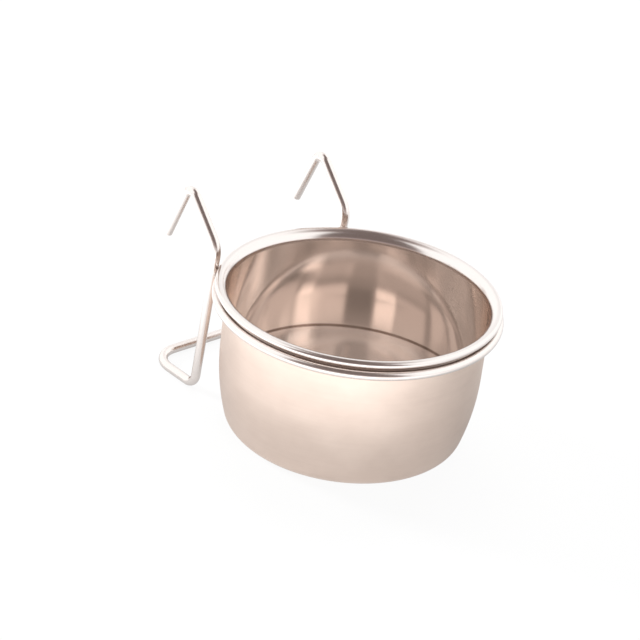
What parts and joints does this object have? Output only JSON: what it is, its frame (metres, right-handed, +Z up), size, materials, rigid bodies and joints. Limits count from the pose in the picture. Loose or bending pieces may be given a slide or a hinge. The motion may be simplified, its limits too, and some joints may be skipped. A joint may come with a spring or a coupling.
{
  "type": "hook-on seed cup",
  "caption": "Drawn steel seed cup with a rolled rim, which lifts out of a welded wire holder that hooks over a cage's wires.",
  "frame": {"origin": "centre of the cup's flat base, on the surface that the cup and the holder's foot stand on", "axes": "+Z up the cup's axis, +Y towards the cage that the hooks go over, +X to the right as seen from the cup's front"},
  "size_m": [0.097, 0.1181, 0.0727],
  "materials": {
    "cup_steel": "satin outside, mirror polished inside and on the rim",
    "holder_wire": "bright polished wire",
    "weld_metal": "as welded, plated over"
  },
  "bodies": {
    "holder": {"ring": "holder_wire", "hanger": "holder_wire", "weld_left": "weld_metal", "weld_right": "weld_metal"},
    "cup": {"cup": "cup_steel"}
  },
  "joints": [
    {"name": "cup_lift", "type": "slide", "parent": "holder", "child": "cup", "axis": [0, 0, 1], "range_m": [0, 0.06]}
  ]
}
